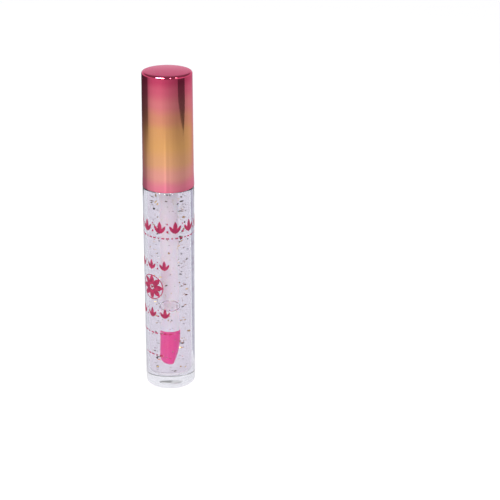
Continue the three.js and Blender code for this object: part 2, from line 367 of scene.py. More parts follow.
# %% Cap lacquer
def cap_lacquer():
    material, tree, shader = new_material(
        "cap_lacquer", Metallic=1.0, Specular_Tint=(0.85, 0.46, 0.62, 1),
        Coat_Weight=0.42, Coat_Roughness=0.03)
    place = object_place(tree)
    parts = add_node(tree, "ShaderNodeSeparateXYZ")
    tree.links.new(place, parts.inputs["Vector"])
    mist = add_node(tree, "ShaderNodeTexNoise")
    mist.inputs["Scale"].default_value = 90
    mist.inputs["Detail"].default_value = 4
    tree.links.new(place, mist.inputs["Vector"])
    share = remapped(tree, parts.outputs["Z"], (RIM * MM, CAP_TOP * MM))
    sway = add_node(tree, "ShaderNodeMath", operation="MULTIPLY_ADD")
    sway.inputs[1].default_value = 0.09
    tree.links.new(mist.outputs["Fac"], sway.inputs[0])
    tree.links.new(share, sway.inputs[2])
    colour = colour_ramp(tree, sway.outputs["Value"], (
        (0.03, paint(226, 108, 140)),
        (0.08, paint(232, 126, 148)),
        (0.18, paint(230, 154, 142)),
        (0.30, paint(226, 164, 118)),
        (0.44, paint(228, 168, 104)),
        (0.56, paint(230, 166, 106)),
        (0.68, paint(230, 148, 118)),
        (0.80, paint(230, 126, 132)),
        (0.92, paint(222, 94, 122)),
        (1.0, paint(208, 66, 106)),
    ))
    tree.links.new(colour, shader.inputs["Base Color"])
    add_handling_marks(tree, shader, (0.05, 0.09), 0.003, drift_scale=150, line_scale=900)
    return material


# %% [markdown]
# ## Finish: bare aluminium
# Inside the cap the drawn metal has no lacquer. It is grey and satin, with the fine lines of the press tool.
# One flat grey would look like paint, so its tone drifts together with its roughness.

# %% Bare aluminium
def bare_aluminium():
    material, tree, shader = new_material("bare_aluminium", Metallic=1.0)
    marks = add_handling_marks(tree, shader, (0.28, 0.4), 0.01)
    drift_colour(tree, shader, marks, (paint(168, 168, 174), paint(205, 206, 212)))
    return material


# %% [markdown]
# ## Finish: clear bottle plastic
# The wall is thick, water-clear copolyester. Light bends where it goes in from the air, and again, much less,
# where the plastic meets the gloss. A renderer only knows the surfaces that a ray crosses, so the cavity
# wall that gloss wets has its own finish whose IOR is the plastic's IOR over the gloss's.
# Leaving both at the air's value would put a false mirror round the gloss.

# %% Clear finishes
PLASTIC_IOR = 1.57
GLOSS_IOR = 1.5


def clear_finish(name, colour, ior, rough):
    material, tree, shader = new_material(name, Transmission_Weight=1.0, IOR=ior)
    marks = add_handling_marks(tree, shader, rough, 0)
    drift_colour(tree, shader, marks, (colour, tuple(value * 0.985 for value in colour)))
    return material


def bottle_plastic():
    return clear_finish("bottle_plastic", paint(214, 214, 223), PLASTIC_IOR, (0.0, 0.02))


def wetted_wall():
    return clear_finish("wetted_wall", paint(252, 249, 252), PLASTIC_IOR / GLOSS_IOR, (0.0, 0.01))


def gloss_gel():
    return clear_finish("gloss_gel", paint(251, 247, 249), 1.0, (0.0, 0.0))


def gloss_skin():
    return clear_finish("gloss_skin", paint(251, 246, 248), GLOSS_IOR, (0.0, 0.01))


# %% [markdown]
# ## Finish: gold flake
# Each flake is a scrap of metallised film. Random Per Island gives every flake its own tone, from bright
# gold through bronze to near black. The gold and bronze are the film's colour; the darkest tones are painted
# shade, standing in for flakes turned away from the light.

# %% Gold flake
def gold_flake():
    material, tree, shader = new_material("gold_flake", Metallic=1.0)
    geometry = add_node(tree, "ShaderNodeNewGeometry")
    # Painted shade: the darkest stops stand in for flakes turned away from the light; the gold stops are the
    # film's colour.
    colour = colour_ramp(tree, geometry.outputs["Random Per Island"], (
        (0.0, paint(28, 24, 24)),
        (0.35, paint(80, 60, 44)),
        (0.65, paint(176, 134, 70)),
        (1.0, paint(240, 206, 136)),
    ), "LINEAR")
    tree.links.new(colour, shader.inputs["Base Color"])
    add_handling_marks(tree, shader, (0.22, 0.4), 0.0)
    return material


# %% [markdown]
# ## Finish: print ink
# Screen-printed ink is a thin, slightly glossy film. Where it is thin the plastic shows through, so its
# colour drifts a little between crimson and burgundy. The marks have their own mesh, so the ink is a whole
# finish: a mask on the bottle's finish could draw them too, but would leave them no thickness.

# %% Print ink
def print_ink():
    material, tree, shader = new_material("print_ink", Specular_IOR_Level=0.3, Coat_Weight=0.05)
    marks = add_handling_marks(tree, shader, (0.3, 0.45), 0, drift_scale=900)
    drift_colour(tree, shader, marks, (paint(148, 22, 70), paint(184, 36, 86)))
    return material


# %% [markdown]
# ## Finishes: moulded plastics
# Polypropylene scatters light below its surface, which softens the edges of thin walls. Subsurface does that.
# A fine grain from the mould breaks up the highlight. The group gives the grain to five finishes, the last
# of them the tip's.

# %% Moulded grain group
def make_moulded_grain():
    inputs = (("Vector", "Vector"), ("Light", "Color"), ("Dark", "Color"), ("Grain Scale", "Float"))
    outputs = (("Color", "Color"), ("Height", "Float"))
    group, enter, leave = new_group("moulded_grain", inputs, outputs)
    grain = add_node(group, "ShaderNodeTexNoise")
    grain.inputs["Detail"].default_value = 6
    flow = add_node(group, "ShaderNodeTexNoise")
    flow.inputs["Scale"].default_value = 140
    mix = add_node(group, "ShaderNodeMix", data_type="RGBA")
    join(group,
         (enter, "Vector", grain, "Vector"),
         (enter, "Grain Scale", grain, "Scale"),
         (grain, "Fac", leave, "Height"),
         (enter, "Vector", flow, "Vector"),
         (flow, "Fac", mix, "Factor"),
         (enter, "Light", mix, "A"),
         (enter, "Dark", mix, "B"),
         (mix, "Result", leave, "Color"))
    return group


MOULDED_GRAIN = make_moulded_grain()
print(f"{MOULDED_GRAIN.name}: {len(MOULDED_GRAIN.nodes)} nodes")


def moulded_finish(name, light, dark, grain_scale, grain_height, **values):
    """A moulded plastic between two close tones, with a grain of that scale and height in mm."""
    material, tree, shader = new_material(name, **values)
    grain = add_node(tree, "ShaderNodeGroup", node_tree=MOULDED_GRAIN)
    grain.inputs["Light"].default_value = (*light, 1)
    grain.inputs["Dark"].default_value = (*dark, 1)
    grain.inputs["Grain Scale"].default_value = grain_scale
    tree.links.new(object_place(tree), grain.inputs["Vector"])
    join(tree, (grain, "Color", shader, "Base Color"))
    add_bump(tree, shader, grain.outputs["Height"], grain_height)
    return material


# %% Moulded finishes
def white_plastic():
    return moulded_finish(
        "white_plastic", paint(244, 243, 245), paint(232, 231, 235), 2500, 0.006,
        Roughness=0.38, Subsurface_Weight=0.3, Subsurface_Scale=0.002)


def seal_foam():
    return moulded_finish(
        "seal_foam", paint(247, 245, 242), paint(233, 230, 226), 5000, 0.05,
        Roughness=0.8, Subsurface_Weight=0.2, Subsurface_Scale=0.001)


def stem_plastic():
    return moulded_finish(
        "stem_plastic", paint(240, 237, 242), paint(231, 220, 229), 1800, 0.003,
        Roughness=0.28, Specular_IOR_Level=0.3, Subsurface_Weight=0.4, Subsurface_Scale=0.0015,
        Coat_Weight=0.12)


def wiper_plastic():
    return moulded_finish(
        "wiper_plastic", paint(252, 102, 216), paint(246, 72, 200), 1200, 0.004,
        Roughness=0.3, Transmission_Weight=0.6, IOR=1.5, Subsurface_Weight=0.3, Subsurface_Scale=0.0015)


# %% [markdown]
# ## Finish: flocked tip
# The tip is covered with very short nylon fibres that hold the gloss. Sheen lights their ends at the edges,
# a fine noise bump stands for the nap, and a partial coat is the wet gloss left on it.

# %% Flocked tip
def flocked_tip():
    return moulded_finish(
        "flocked_tip", paint(238, 38, 152), paint(230, 26, 134), 6000, 0.12,
        Roughness=0.55, Specular_IOR_Level=0.3, Subsurface_Weight=0.35, Subsurface_Scale=0.001,
        Sheen_Weight=0.12, Coat_Weight=0.12, Coat_Roughness=0.12)


# %% [markdown]
# ## Bottle
# One closed skin: the outside from the dimple in the base up over the shoulder and neck, then down the bore
# to the cavity floor. The neck's thread swells out of the wall: the outline there has close rings, and the
# radius of each point grows by how near it is to the helix.

# %% Thread shape
def thread_swell(bottom, turns, height, inside=False):
    """A function of height and angle that is the thread's rise over its wall."""
    half_width = 0.62
    fade_turns = 0.12

    def rise(level, angle):
        turn = angle / (2 * math.pi)
        best = 0.0
        for whole in range(math.ceil(turns) + 1):
            along = turn + whole
            if along > turns:
                break
            distance = abs(level - (bottom + THREAD_PITCH * along)) / half_width
            crest = math.sqrt(max(0.0, 1 - distance * distance))
            fade = smooth_step(min(along, turns - along) / fade_turns)
            best = max(best, height * crest ** 0.8 * fade)
        return -best if inside else best

    return rise


# %% Bottle piece
BASE_EDGE = 0.7
DIMPLE_FLAT = 1.6
DIMPLE_SLOPE = 0.9
DIMPLE_DEPTH = 0.4
SHOULDER_EDGE = 0.4
NECK_FILLET = 1.4
NECK_LIP = 0.25
BORE_LIP = 0.15
CAVITY_CORNER = 1.6
CONE_EASE = 0.4
THREAD_STEP = 0.14
THREAD_MARGIN = 0.8
BODY_STEP = 8
HAIR = 0.02


def bottle_piece():
    thread_low = THREAD_BOTTOM - THREAD_MARGIN
    thread_high = NECK_TOP - THREAD_INSET + THREAD_MARGIN
    rise = thread_swell(THREAD_BOTTOM, THREAD_TURNS, THREAD_HEIGHT)

    def swell(radius, level, angle):
        on_neck = abs(radius - NECK_RADIUS) < 0.01 and thread_low <= level <= thread_high
        return rise(level, angle) if on_neck else 0.0

    outside = [(0, DIMPLE_DEPTH)] + arc(DIMPLE_FLAT, 0.0, DIMPLE_SLOPE, 90, 0, 6, DIMPLE_DEPTH)
    outside += arc(BASE_RADIUS - BASE_EDGE, BASE_EDGE, BASE_EDGE, -90, 0)
    outside += straight(outside[-1], (SHOULDER_RADIUS, SHOULDER - SHOULDER_EDGE), BODY_STEP)
    outside += arc(SHOULDER_RADIUS - SHOULDER_EDGE, SHOULDER - SHOULDER_EDGE, SHOULDER_EDGE, 0, 90)[1:]
    outside += arc(NECK_RADIUS + NECK_FILLET, SHOULDER + NECK_FILLET, NECK_FILLET, 270, 180)
    outside += [(NECK_RADIUS, thread_low)]
    outside += straight(outside[-1], (NECK_RADIUS, thread_high), THREAD_STEP)
    outside += arc(NECK_RADIUS - NECK_LIP, NECK_TOP - NECK_LIP, NECK_LIP, 0, 90, 4)
    bore = arc(NECK_BORE + BORE_LIP, NECK_TOP - BORE_LIP, BORE_LIP, 90, 180, 3)
    bore += [(NECK_BORE, GLOSS_TOP)]
    wetted = [(NECK_BORE, CONE_TOP + CONE_EASE), (NECK_BORE + HAIR, CONE_TOP)]
    wetted += [(CAVITY_RADIUS - HAIR, CONE_BOTTOM), (CAVITY_RADIUS, CONE_BOTTOM - CONE_EASE)]
    wetted += straight(wetted[-1], (CAVITY_RADIUS, CAVITY_FLOOR + CAVITY_CORNER), BODY_STEP)
    corner_radius = CAVITY_RADIUS - CAVITY_CORNER
    wetted += arc(corner_radius, CAVITY_FLOOR + CAVITY_CORNER, CAVITY_CORNER, 0, -90)[1:]
    wetted += [(0, CAVITY_FLOOR)]
    piece = turned_piece("bottle_wall", [(outside, 0), (bore, 0), (wetted, 1)], swell=swell)
    return fit_piece(piece, "bottle_body", [bottle_plastic(), wetted_wall()], "bottle")


bottle = bottle_piece()

# %% [markdown]
# ## Gloss
# The gloss fills the cavity and wets its wall. It is one closed solid, a hair inside the wall, and its side
# bends no light of its own because the wall's finish already did. Its top is a real surface to the air,
# and curves up where it clings to the neck. Trapped bubbles are hollows in the same solid.

# %% Gloss piece
FILM = 0.02
GLOSS_SAG = 0.5
BUBBLE_SEED = 11
SMALL_BUBBLES = 26
BIG_BUBBLE = ((0.2, -3.25, 30.8), (2.8, 0.9, 2.3))


def gloss_outline():
    radius = CAVITY_RADIUS - FILM
    corner = CAVITY_CORNER - FILM
    neck = NECK_BORE - FILM
    side = [(0, CAVITY_FLOOR + FILM)]
    side += arc(radius - corner, CAVITY_FLOOR + CAVITY_CORNER, corner, -90, 0)
    side += [(radius, CONE_BOTTOM - CONE_EASE), (radius - HAIR, CONE_BOTTOM)]
    side += [(neck + HAIR, CONE_TOP), (neck, CONE_TOP + CONE_EASE), (neck, GLOSS_TOP)]
    level = GLOSS_TOP - GLOSS_SAG
    top = [(neck - 0.25, GLOSS_TOP - GLOSS_SAG / 2), (neck - 0.8, level), (0, level)]
    return side, top


def add_bubble(mesh, centre, radii, finish):
    """A hollow: a small ball whose faces point inwards, out of the gloss and into the air."""
    made = bmesh.ops.create_icosphere(mesh, subdivisions=3, radius=1)
    for vert in made["verts"]:
        vert.co = Vector(tuple(c + v * r for c, v, r in zip(centre, vert.co, radii))) * MM
    faces = {face for vert in made["verts"] for face in vert.link_faces}
    bmesh.ops.reverse_faces(mesh, faces=list(faces))
    for face in faces:
        face.material_index = finish


def bubble_places():
    """The big flat bubble, then small ones at random between the wand and the wall."""
    dice = random.Random(BUBBLE_SEED)
    places = [BIG_BUBBLE]
    for _ in range(SMALL_BUBBLES):
        angle = dice.uniform(0, 2 * math.pi)
        distance = dice.uniform(3.0, CAVITY_RADIUS - 0.6)
        size = dice.uniform(0.08, 0.3)
        level = dice.uniform(CAVITY_FLOOR + 2, GLOSS_TOP - 3)
        centre = (distance * math.cos(angle), distance * math.sin(angle), level)
        places.append((centre, (size, size, size * dice.uniform(0.8, 1.2))))
    return places


def gloss_piece():
    side, top = gloss_outline()
    piece = turned_piece("gloss_gel", [(side, 0), (top, 1)])
    mesh = bmesh.new()
    mesh.from_mesh(piece.data)
    for centre, radii in bubble_places():
        add_bubble(mesh, centre, radii, 1)
    for face in mesh.faces:
        face.smooth = True
    mesh.to_mesh(piece.data)
    mesh.free()
    return fit_piece(piece, "gloss_body", [gloss_gel(), gloss_skin()], "gloss_fill")


gloss = gloss_piece()

# %% [markdown]
# ## Gold flakes
# The flakes are cut film, so each is a thin plate with an uneven outline and its own tilt. Instances would be
# lighter, but one mesh of separate plates exports as one piece and lets the finish vary per plate.
# They hang in the ring between the wand and the wall, and a few big ones have gathered under the shoulder.

# %% Flakes piece
FLAKE_COUNT = 420
FLAKE_SEED = 5
FLAKE_SIZE = 0.2
FLAKE_SPREAD = 0.45
FLAKE_THICKNESS = 0.03
WAND_ROOM = 2.9
WALL_ROOM = 0.5
BIG_FLAKES = (((-3.1, -2.5, 69.5), 0.8), ((-2.8, -2.9, 68.7), 0.55), ((3.3, -1.8, 71.0), 0.5),
              ((3.3, -1.9, 69.4), 0.65), ((3.2, -1.9, 67.7), 0.5))


def add_flake(mesh, dice, centre, size):
    """One closed plate with five to seven uneven corners."""
    corners = dice.randint(5, 7)
    turn = dice.uniform(0, math.pi)
    axis = Vector([dice.gauss(0, 1) for _ in range(3)]).normalized()
    tilt = Matrix.Rotation(turn, 4, axis)
    outline = []
    for i in range(corners):
        angle = 2 * math.pi * (i + dice.uniform(-0.3, 0.3)) / corners
        reach = size * dice.uniform(0.55, 1.1)
        outline.append((reach * math.cos(angle), reach * 0.7 * math.sin(angle)))
    layers = []
    for side in (-1, 1):
        level = side * FLAKE_THICKNESS / 2
        points = [Vector(centre) + tilt @ Vector((x, y, level)) for x, y in outline]
        layers.append([mesh.verts.new(point * MM) for point in points])
    bottom, top = layers
    mesh.faces.new(top)
    mesh.faces.new(bottom[::-1])
    for i in range(corners):
        j = (i + 1) % corners
        mesh.faces.new((bottom[i], bottom[j], top[j], top[i]))


def flakes_piece():
    dice = random.Random(FLAKE_SEED)
    mesh = bmesh.new()
    for _ in range(FLAKE_COUNT):
        size = FLAKE_SIZE + FLAKE_SPREAD * dice.random() ** 2
        angle = dice.uniform(0, 2 * math.pi)
        distance = math.sqrt(dice.uniform(WAND_ROOM ** 2, (CAVITY_RADIUS - WALL_ROOM) ** 2))
        level = dice.uniform(CAVITY_FLOOR + 0.8, GLOSS_TOP - 1.5)
        if level > CONE_BOTTOM - 1:
            distance = min(distance, NECK_BORE - 0.6)
        add_flake(mesh, dice, (distance * math.cos(angle), distance * math.sin(angle), level), size)
    for centre, size in BIG_FLAKES:
        add_flake(mesh, dice, centre, size)
    piece = finished_object("gold_flakes", mesh, 20)
    return fit_piece(piece, "gloss_body", [gold_flake()])


flakes_piece()

# %% [markdown]
# ## Printed ornament
# The real print is a name, which isn't copied. A plain pattern of petals, dots and rules takes its place, in
# the same crimson and in rows at the same heights. Each mark is a thin film of ink: a grid laid on the
# bottle's tapered side and given a thickness, which keeps it on the curve however wide it is.

# %% Print helpers
INK_LIFT = 0.015
INK_THICKNESS = 0.025
PRINT_TURN = math.radians(-41)
FRIEZE_MIDDLE = 6.3


def side_radius(level):
    """Radius of the bottle's side at a height in mm."""
    return BASE_RADIUS + (SHOULDER_RADIUS - BASE_RADIUS) * level / SHOULDER


def on_side(across, level, lift):
    """A point on the bottle's side: across is mm round the bottle from the print's centre line."""
    radius = side_radius(level)
    angle = -math.pi / 2 + PRINT_TURN + across / radius
    reach = radius + lift
    return Vector((reach * math.cos(angle), reach * math.sin(angle), level)) * MM


def add_film(mesh, grid):
    """A closed film of ink from a grid of (across, height) points, row by row."""
    sheets = []
    for lift in (INK_LIFT, INK_LIFT + INK_THICKNESS):
        sheets.append([[mesh.verts.new(on_side(x, z, lift)) for x, z in row] for row in grid])
    under, over = sheets
    rows = len(grid)
    columns = len(grid[0])
    for r in range(rows - 1):
        for c in range(columns - 1):
            mesh.faces.new((over[r][c], over[r][c + 1], over[r + 1][c + 1], over[r + 1][c]))
            mesh.faces.new((under[r][c], under[r + 1][c], under[r + 1][c + 1], under[r][c + 1]))
    edge = [(0, c) for c in range(columns)]
    edge += [(r, columns - 1) for r in range(1, rows)]
    edge += [(rows - 1, c) for c in range(columns - 2, -1, -1)]
    edge += [(r, 0) for r in range(rows - 2, 0, -1)]
    for (r1, c1), (r2, c2) in zip(edge, edge[1:] + edge[:1]):
        mesh.faces.new((under[r1][c1], under[r2][c2], over[r2][c2], over[r1][c1]))


def add_petal(mesh, centre, length, width, lean=0.0, steps=10, fullness=0.75):
    """A leaf shape pointed at both ends, leaning by an angle from upright."""
    grid = []
    point_width = 0.03
    for i in range(steps + 1):
        along = i / steps
        half = width / 2 * max(point_width, math.sin(math.pi * along) ** fullness)
        row = []
        for side in (-1, -0.33, 0.33, 1):
            x = side * half
            z = (along - 0.5) * length
            row.append((centre[0] + x * math.cos(lean) + z * math.sin(lean),
                        centre[1] - x * math.sin(lean) + z * math.cos(lean)))
        grid.append(row)
    add_film(mesh, grid)


def add_ring(mesh, centre, outer, inner, steps=40):
    """A round ring of ink, closed on itself: each place round it has four points, joined to the next four."""
    places = []
    for i in range(steps):
        angle = 2 * math.pi * i / steps
        across, up = math.cos(angle), math.sin(angle)
        near, far = [(centre[0] + r * across, centre[1] + r * up) for r in (inner, outer)]
        under = [on_side(*near, INK_LIFT), on_side(*far, INK_LIFT)]
        over = [on_side(*far, INK_LIFT + INK_THICKNESS), on_side(*near, INK_LIFT + INK_THICKNESS)]
        places.append([mesh.verts.new(corner) for corner in under + over])
    for here, there in zip(places, places[1:] + places[:1]):
        for i in range(4):
            j = (i + 1) % 4
            mesh.faces.new((here[i], there[i], there[j], here[j]))


def add_dot(mesh, centre, radius):
    add_petal(mesh, centre, 2 * radius, 2 * radius, fullness=0.5)


def add_rule(mesh, centre, length, thickness):
    grid = []
    count = max(2, round(length))
    for z in (-thickness / 2, thickness / 2):
        grid.append([(centre[0] + length * (i / count - 0.5), centre[1] + z) for i in range(count + 1)])
    add_film(mesh, grid)


# %% Print piece
def down_from_shoulder(share):
    return SHOULDER * (1 - share)


def add_petal_row(mesh, share, height, count, pitch, middle=0.0):
    """Petals and dots in turn, centred that many mm round from the print's centre line."""
    level = down_from_shoulder(share)
    for i in range(count):
        x = middle + (i - (count - 1) / 2) * pitch
        if i % 2:
            add_dot(mesh, (x, level - height * 0.3), height * 0.09)
            add_dot(mesh, (x, level + height * 0.3), height * 0.06)
        else:
            add_petal(mesh, (x, level), height, height * 0.34)
            for side in (-1, 1):
                place = (x + side * height * 0.27, level - height * 0.14)
                add_petal(mesh, place, height * 0.72, height * 0.24, lean=side * 0.55)


def add_fine_row(mesh, share, count, pitch, length, middle=0.0, thickness=0.5):
    level = down_from_shoulder(share)
    for i in range(count):
        x = middle + (i - (count - 1) / 2) * pitch
        add_rule(mesh, (x, level), length if i % 3 else length * 0.5, thickness)


def add_rosette(mesh, share, radius, petals):
    """Petals round a clear centre, inside a fine ring."""
    level = down_from_shoulder(share)
    middle = radius * 0.56
    for i in range(petals):
        angle = 2 * math.pi * i / petals
        place = (middle * math.sin(angle), level + middle * math.cos(angle))
        add_petal(mesh, place, radius * 0.8, radius * 0.42, lean=angle, fullness=0.6)
    add_ring(mesh, (0, level), radius, radius * 0.93)
    add_dot(mesh, (0, level), radius * 0.1)


def print_piece():
    mesh = bmesh.new()
    add_petal_row(mesh, 0.17, 4.6, 11, 2.75, FRIEZE_MIDDLE)
    add_fine_row(mesh, 0.222, 17, 1.6, 1.1, FRIEZE_MIDDLE)
    add_petal_row(mesh, 0.36, 3.8, 5, 2.5)
    add_rosette(mesh, 0.475, 4.6, 8)
    add_petal_row(mesh, 0.605, 3.8, 5, 2.5)
    add_fine_row(mesh, 0.71, 9, 1.7, 1.2)
    add_fine_row(mesh, 0.825, 5, 1.7, 1.2)
    piece = finished_object("printed_ornament", mesh, 30)
    return fit_piece(piece, "bottle_body", [print_ink()])


print_piece()

# %% [markdown]
# ## Wiper
# The magenta insert in the neck: a flange, a plug and a funnel that closes to a thin lip, which scrapes the
# stem clean. Tubes with bevelled edges could be joined for it, but one closed outline gives the funnel's
# slope and the soft edges together, with no seam where the parts meet.

# %% Wiper piece
TIP_GAP = 0.2
FUNNEL_STEP = 0.6
PLUG_WALL = 0.7
FLANGE_THICKNESS = 1.0
FUNNEL_LENGTH = 3.2
LIP_ROUND = 0.3


def wiper_piece():
    lip = low("wiper")
    top = high("wiper")
    flange = radius_of("wiper")
    seat = top - FLANGE_THICKNESS
    hole = TIP_RADIUS + TIP_GAP
    bore = hole + FUNNEL_STEP
    plug = bore + PLUG_WALL
    funnel = lip + FUNNEL_LENGTH
    soft = 0.22
    outline = arc(hole + LIP_ROUND, lip + LIP_ROUND, LIP_ROUND, 180, 360, 6)
    outline += straight(outline[-1], (plug, funnel), 0.8)
    outline += [(plug, funnel + 0.5), (plug, seat - 0.2), (plug + 0.2, seat)]
    outline += arc(flange - soft, seat + soft, soft, -90, 0, 4)
    outline += arc(flange - soft, top - soft, soft, 0, 90, 4)
    outline += arc(bore + soft, top - soft, soft, 90, 180, 4)
    outline += straight(outline[-1], (bore, funnel + 0.5), 2)
    outline += straight(outline[-1], (hole, lip + 0.8), 0.5)
    piece = turned_piece("wiper_insert", [(outline, 0)], closed=True, segments=96)
    return fit_piece(piece, "bottle_body", [wiper_plastic()], "wiper")


wiper_piece()

# %% [markdown]
# ## Cap shell
# A deep-drawn cup of thin aluminium. Its top edge is a small even radius, because the press can't make it
# sharp. Its rim flares a little and reaches down over the shoulder. It is lacquer outside, bare metal inside.
# A Solidify modifier could thicken a single skin, but an outline that goes up the outside and down the inside
# lets the rim be rounded and puts the border of the lacquer just where the edge turns.

# %% Cap shell piece
CAP_WALL = 0.5
CAP_TAPER = 0.25
CAP_FLARE = 0.13
CAP_EDGE = 0.8
CAP_DOME = 0.25
CAP_REACH = 0.22
DOME_STEPS = 8


def cap_shell_piece():
    rim_radius = radius_of("overcap")
    side = rim_radius - CAP_FLARE
    top_radius = side - CAP_TAPER
    lip = CAP_WALL / 2
    outside = arc(rim_radius - lip, RIM - CAP_REACH + lip, lip, -90, 0, 5)
    outside += [(rim_radius - 0.02, RIM + 0.6), (side + 0.03, RIM + 3.2), (side - 0.02, RIM + 4.8)]
    outside += straight(outside[-1], (top_radius, CAP_TOP - CAP_EDGE), 4)
    outside += arc(top_radius - CAP_EDGE, CAP_TOP - CAP_EDGE, CAP_EDGE, 0, 86, 8)[1:]
    dome_radius, dome_level = outside[-1]
    for i in range(DOME_STEPS):
        left = 1 - (i + 1) / DOME_STEPS
        outside.append((dome_radius * left, dome_level + CAP_DOME * (1 - left ** 2)))
    ceiling = CAP_TOP - CAP_WALL
    inside_edge = CAP_EDGE - lip
    inside = [(0, ceiling)]
    inside += arc(top_radius - CAP_WALL - inside_edge, ceiling - inside_edge, inside_edge, 90, 0, 5)
    inside += straight(inside[-1], (side - CAP_WALL, RIM + 3.2), 4)
    inside += [(rim_radius - CAP_WALL - 0.03, RIM + 0.6)]
    inside += arc(rim_radius - lip, RIM - CAP_REACH + lip, lip, -180, -90, 5)
    piece = turned_piece("cap_shell", [(outside, 0), (inside, 1)])
    return fit_piece(piece, "cap_body", [cap_lacquer(), bare_aluminium()], "overcap")


cap_shell_piece()

# %% [markdown]
# ## Inner cap
# The white moulding inside the shell: a sleeve with the thread, a ceiling that presses the washer on the
# wiper, and a socket for the stem. Ribs on its outside grip the shell. The thread and the ribs are both
# swells of one turned skin.

# %% Inner cap piece
RIB_COUNT = 16
RIB_TAPER = 0.22
CAP_THREAD_TURNS = 1.5
CAP_THREAD_HEIGHT = 0.5
THREAD_GAP = 0.3
SLEEVE_WALL = 1.0
DECK_THICKNESS = 2.0
BOSS_WALL = 1.0
BOSS_ROOF = 1.2


def inner_cap_piece():
    bottom = low("inner_cap")
    top = high("inner_cap")
    crest = NECK_RADIUS + THREAD_HEIGHT + THREAD_GAP
    root = crest + CAP_THREAD_HEIGHT
    sleeve = root + SLEEVE_WALL
    rib_height = radius_of("inner_cap") - sleeve
    ceiling = high("sealing_washer") + FIT_GAP
    deck = ceiling + DECK_THICKNESS
    socket = radius_of("wand_stem") + FIT_GAP
    boss = socket + BOSS_WALL
    socket_top = high("wand_stem") + FIT_GAP * 2
    boss_top = socket_top + BOSS_ROOF
    thread_low = bottom + 0.5
    thread_high = bottom + 6.2
    thread_start = THREAD_BOTTOM - THREAD_PITCH / 2
    rise = thread_swell(thread_start, CAP_THREAD_TURNS, CAP_THREAD_HEIGHT, inside=True)

    def swell(radius, level, angle):
        if abs(radius - root) < 0.01 and thread_low <= level <= thread_high:
            return rise(level, angle)
        if radius > sleeve - 0.01:
            rib = smooth_step((math.cos(angle * RIB_COUNT) - 0.55) / 0.3)
            ends = smooth_step((level - bottom - 0.4) / 1.2) * smooth_step((top - 1.0 - level) / 0.6)
            taper = (level - bottom) / (top - bottom) * RIB_TAPER
            return (rib_height - taper) * rib * ends
        return 0.0

    ease = 0.3
    soft = 0.25
    outline = [(0, socket_top)] + arc(socket - ease, socket_top - ease, ease, 90, 0, 3)
    outline += [(socket, ceiling + ease), (socket + ease, ceiling)]
    outline += arc(root - ease, ceiling - ease, ease, 90, 0, 3) + [(root, thread_high)]
    outline += straight(outline[-1], (root, thread_low), THREAD_STEP)
    outline += arc(root + soft, bottom + soft, soft, 180, 270, 4)
    outline += arc(sleeve - soft, bottom + soft, soft, -90, 0, 4)
    outline += straight(outline[-1], (sleeve, bottom + 2.5), 0.3)
    outline += straight(outline[-1], (sleeve, top - 2), 4)
    outline += straight(outline[-1], (sleeve, top - 0.8), 0.2)
    outline += [(sleeve - soft, top), (root + 0.2, top), (root, top - 0.2)]
    outline += [(root, deck + 0.4), (root - 0.4, deck), (boss + 0.4, deck), (boss, deck + 0.4)]
    outline += [(boss, boss_top - ease), (boss - ease, boss_top), (0, boss_top)]
    piece = turned_piece("inner_sleeve", [(outline, 0)], swell=swell)
    return fit_piece(piece, "cap_body", [white_plastic()], "inner_cap")


inner_cap_piece()

# %% [markdown]
# ## Sealing washer
# A soft ring between the inner cap's ceiling and the wiper's flange. A torus would be too plump, because the
# ring is punched from a flat sheet, so its outline is a box with four slightly rounded corners.

# %% Washer piece
def washer_piece():
    bottom = low("sealing_washer")
    top = high("sealing_washer")
    inner = STEM_ROOT + FIT_GAP
    outer = radius_of("sealing_washer")
    soft = 0.2
    outline = arc(inner + soft, bottom + soft, soft, 180, 270, 4)
    outline += arc(outer - soft, bottom + soft, soft, -90, 0, 4)
    outline += arc(outer - soft, top - soft, soft, 0, 90, 4)
    outline += arc(inner + soft, top - soft, soft, 90, 180, 4)
    piece = turned_piece("seal_ring", [(outline, 0)], closed=True, segments=96)
    return fit_piece(piece, "washer_body", [seal_foam()], "sealing_washer")


washer_piece()

# %% [markdown]
# ## Wand stem
# A moulded rod that thickens a little towards the cap. Its barbed head is pressed into the inner cap, and
# its end is closed round the tip's peg, so only the joint line shows. A stretched cylinder would do at a
# glance, but the slow flare is what makes a rod look moulded, so the outline eases from radius to radius.

# %% Stem piece
STEM_WALL = 0.5
PEG_LENGTH = 4.0
STEM_FLARE = 22
FLARE_STEPS = 8
BARB_COUNT = 3
BARB_HEIGHT = 0.15


def stem_piece():
    bottom = low("wand_stem")
    top = high("wand_stem")
    head = radius_of("wand_stem")
    neck = head - BARB_HEIGHT
    head_low = high("sealing_washer") + FIT_GAP * 2
    flare_low = head_low - STEM_FLARE
    flare_length = STEM_FLARE - 0.5
    socket = STEM_RADIUS - STEM_WALL
    socket_top = bottom + PEG_LENGTH + FIT_GAP
    outline = [(0, socket_top), (socket, socket_top), (socket, bottom + 0.1), (socket + 0.1, bottom)]
    outline += arc(STEM_RADIUS - 0.2, bottom + 0.2, 0.2, -90, 0, 4)
    outline += straight(outline[-1], (STEM_RADIUS, flare_low), 6)
    for i in range(FLARE_STEPS):
        share = (i + 1) / FLARE_STEPS
        radius = STEM_RADIUS + (STEM_ROOT - STEM_RADIUS) * smooth_step(share)
        outline.append((radius, flare_low + flare_length * share))
    outline += [(neck, head_low)]
    barb_pitch = (top - head_low) / (BARB_COUNT + 1)
    for i in range(BARB_COUNT):
        level = head_low + barb_pitch * (i + 1)
        outline += [(head, level), (neck, level + barb_pitch / 3)]
    outline += [(neck, top - 0.45), (STEM_ROOT, top), (0, top)]
    piece = turned_piece("wand_rod", [(outline, 0)], segments=64)
    return fit_piece(piece, "cap_body", [stem_plastic()], "wand_stem")


stem_piece()

